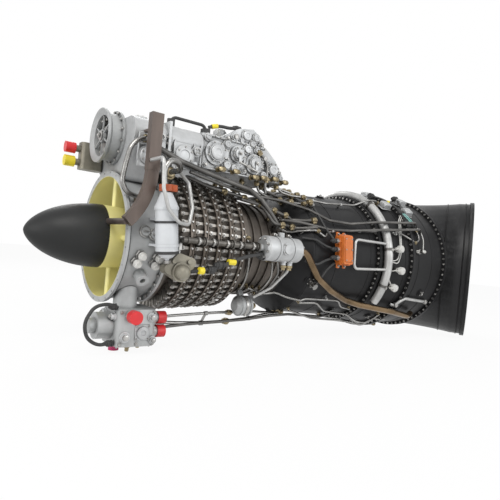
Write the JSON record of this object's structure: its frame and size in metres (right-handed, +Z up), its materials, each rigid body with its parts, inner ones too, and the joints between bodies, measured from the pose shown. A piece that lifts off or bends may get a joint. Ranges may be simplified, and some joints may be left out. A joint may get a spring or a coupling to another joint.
{
  "type": "turboshaft engine",
  "caption": "Rear-drive free-turbine turboshaft engine with variable guide vanes, top accessory gearbox, control unit, side accessories and a turned exhaust.",
  "frame": {"origin": "on the engine axis at the front face of the intake flange", "axes": "+X along the engine axis to the rear, +Z up towards the accessory gearbox, -Y to the near side of the picture"},
  "size_m": [2.0616, 0.6721, 0.7267],
  "materials": {
    "black_nose_paint": "satin",
    "cast_alloy": "satin",
    "brown_duct": "satin",
    "compressor_steel": "satin",
    "bolt_steel": "satin",
    "linkage_steel": "satin",
    "olive_casting": "satin",
    "bright_steel": "gloss",
    "blade_steel": "satin",
    "hot_alloy": "satin",
    "black_casing": "satin",
    "pale_pipe": "satin",
    "black_exhaust": "gloss",
    "light_casting": "satin",
    "grey_canister": "satin",
    "orange_paint": "satin",
    "red_plastic": "satin",
    "yellow_plastic": "satin",
    "magenta_plastic": "satin",
    "bronze_pipe": "satin",
    "dark_pipe": "satin",
    "black_cable": "satin",
    "lever_steel": "satin",
    "ring_steel": "satin"
  },
  "bodies": {
    "engine_core": {"nose_cone": "black_nose_paint", "intake_casing": "cast_alloy", "deicing_duct": "brown_duct", "compressor_casing_upper": "compressor_steel", "compressor_casing_lower": "compressor_steel", "rear_compressor_casing": "compressor_steel", "casing_bolts": "bolt_steel", "guide_vanes_0": "lever_steel", "guide_vanes_1": "lever_steel", "guide_vanes_2": "lever_steel", "guide_vanes_3": "lever_steel", "guide_vanes_4": "lever_steel", "control_shaft_brackets": "linkage_steel", "actuator_body": "olive_casting", "fixed_stators": "blade_steel", "combustor_casing": "black_casing", "combustor_inner_casing": "hot_alloy", "combustor_liner": "hot_alloy", "fuel_manifold": "bright_steel", "igniter_plugs": "bright_steel", "gas_turbine_casing": "black_casing", "gas_turbine_nozzles": "hot_alloy", "power_turbine_casing": "black_casing", "power_turbine_nozzles": "hot_alloy", "hot_bolts": "bolt_steel", "air_manifold": "pale_pipe", "exhaust_flange": "black_exhaust", "exhaust_duct": "black_exhaust", "exhaust_rim": "black_exhaust", "exhaust_cone": "hot_alloy", "rear_shaft_housing": "cast_alloy", "bearings": "bright_steel", "accessory_gearbox": "light_casting", "starter_housing": "cast_alloy", "valve_block": "olive_casting", "fuel_control_unit": "light_casting", "filter_canister": "grey_canister", "bleed_valve": "light_casting", "ignition_unit": "orange_paint", "drain_tank": "cast_alloy", "lower_pump": "cast_alloy", "red_caps": "red_plastic", "yellow_cap": "yellow_plastic", "magenta_cap": "magenta_plastic", "bleed_pipe": "bronze_pipe", "pale_pipes": "pale_pipe", "dark_pipes": "dark_pipe", "turbine_probes": "bright_steel", "harness": "black_cable"},
    "gas_generator": {"compressor_rotor": "blade_steel", "gas_turbine_rotor": "hot_alloy"},
    "power_turbine": {"power_turbine_rotor": "hot_alloy"},
    "starter_rotor": {"starter_wheel": "blade_steel"},
    "control_shaft": {"control_shaft": "linkage_steel"},
    "actuator_rod": {"actuator_rod": "bright_steel"},
    "unison_ring_0": {"unison_ring_0": "ring_steel"},
    "unison_ring_1": {"unison_ring_1": "ring_steel"},
    "unison_ring_2": {"unison_ring_2": "ring_steel"},
    "unison_ring_3": {"unison_ring_3": "ring_steel"},
    "unison_ring_4": {"unison_ring_4": "ring_steel"}
  },
  "joints": [
    {"name": "gas_generator_spin", "type": "hinge", "parent": "engine_core", "child": "gas_generator", "pos_m": [0.3, 0, 0], "axis": [1, 0, 0], "continuous": true},
    {"name": "power_turbine_spin", "type": "hinge", "parent": "engine_core", "child": "power_turbine", "pos_m": [1.3, 0, 0], "axis": [1, 0, 0], "continuous": true},
    {"name": "starter_spin", "type": "hinge", "parent": "engine_core", "child": "starter_rotor", "pos_m": [0, 0, 0.3], "axis": [1, 0, 0], "continuous": true},
    {"name": "control_shaft_swing", "type": "hinge", "parent": "engine_core", "child": "control_shaft", "pos_m": [0.15, -0.26584, 0.00928], "axis": [1, 0, 0], "range_deg": [-13, 13]},
    {"name": "unison_ring_0_turn", "type": "hinge", "parent": "engine_core", "child": "unison_ring_0", "pos_m": [0.191, 0, 0], "axis": [1, 0, 0], "range_deg": [-2.04, 2.04]},
    {"name": "unison_ring_1_turn", "type": "hinge", "parent": "engine_core", "child": "unison_ring_1", "pos_m": [0.239, 0, 0], "axis": [1, 0, 0], "range_deg": [-1.85, 1.85]},
    {"name": "unison_ring_2_turn", "type": "hinge", "parent": "engine_core", "child": "unison_ring_2", "pos_m": [0.287, 0, 0], "axis": [1, 0, 0], "range_deg": [-1.66, 1.66]},
    {"name": "unison_ring_3_turn", "type": "hinge", "parent": "engine_core", "child": "unison_ring_3", "pos_m": [0.335, 0, 0], "axis": [1, 0, 0], "range_deg": [-1.47, 1.47]},
    {"name": "unison_ring_4_turn", "type": "hinge", "parent": "engine_core", "child": "unison_ring_4", "pos_m": [0.383, 0, 0], "axis": [1, 0, 0], "range_deg": [-1.29, 1.29]},
    {"name": "actuator_rod_slide", "type": "slide", "parent": "engine_core", "child": "actuator_rod", "axis": [0, 0.0349, 0.9994], "range_m": [-0.00818, 0.00818]}
  ],
  "couplings": [
    {"joint": "unison_ring_0_turn", "follows": "control_shaft_swing", "ratio": -0.15652},
    {"joint": "unison_ring_1_turn", "follows": "control_shaft_swing", "ratio": -0.14163},
    {"joint": "unison_ring_2_turn", "follows": "control_shaft_swing", "ratio": -0.12712},
    {"joint": "unison_ring_3_turn", "follows": "control_shaft_swing", "ratio": -0.11297},
    {"joint": "unison_ring_4_turn", "follows": "control_shaft_swing", "ratio": -0.099174},
    {"joint": "actuator_rod_slide", "follows": "control_shaft_swing", "m_per_rad": 0.036}
  ]
}
